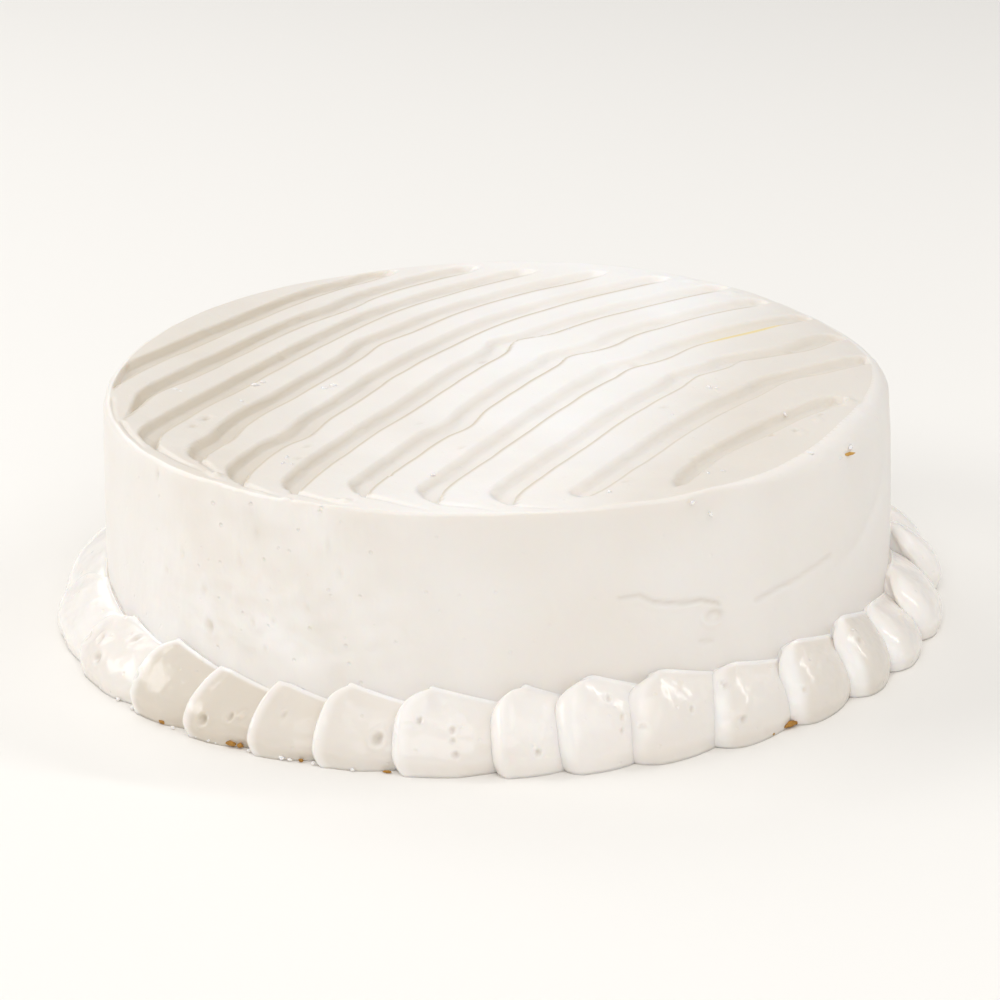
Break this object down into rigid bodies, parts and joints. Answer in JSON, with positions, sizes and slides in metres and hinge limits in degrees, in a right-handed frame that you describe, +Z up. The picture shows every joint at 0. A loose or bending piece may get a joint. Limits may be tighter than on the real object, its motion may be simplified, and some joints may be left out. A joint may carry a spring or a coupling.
{
  "type": "tres leches cake",
  "caption": "Round uncut milk-soaked sponge cake spread with white whipped cream, with wavy combed grooves on top and a piped shell border round its foot.",
  "frame": {"origin": "middle of the cake's flat foot, on the surface it stands on", "axes": "+Z up through the top, -Y towards the front, +X to the right seen from the front"},
  "size_m": [0.2994, 0.2993, 0.0813],
  "materials": {
    "spread_cream": "satin",
    "piped_cream": "satin",
    "sponge_crumb": "matte"
  },
  "bodies": {
    "root": {"frosted_cake": "spread_cream", "piped_shell_01": "piped_cream", "piped_shell_02": "piped_cream", "piped_shell_03": "piped_cream", "piped_shell_04": "piped_cream", "piped_shell_05": "piped_cream", "piped_shell_06": "piped_cream", "piped_shell_07": "piped_cream", "piped_shell_08": "piped_cream", "piped_shell_09": "piped_cream", "piped_shell_10": "piped_cream", "piped_shell_11": "piped_cream", "piped_shell_12": "piped_cream", "piped_shell_13": "piped_cream", "piped_shell_14": "piped_cream", "piped_shell_15": "piped_cream", "piped_shell_16": "piped_cream", "piped_shell_17": "piped_cream", "piped_shell_18": "piped_cream", "piped_shell_19": "piped_cream", "piped_shell_20": "piped_cream", "piped_shell_21": "piped_cream", "piped_shell_22": "piped_cream", "piped_shell_23": "piped_cream", "piped_shell_24": "piped_cream", "piped_shell_25": "piped_cream", "piped_shell_26": "piped_cream", "piped_shell_27": "piped_cream", "piped_shell_28": "piped_cream", "piped_shell_29": "piped_cream", "piped_shell_30": "piped_cream"}
  },
  "joints": []
}
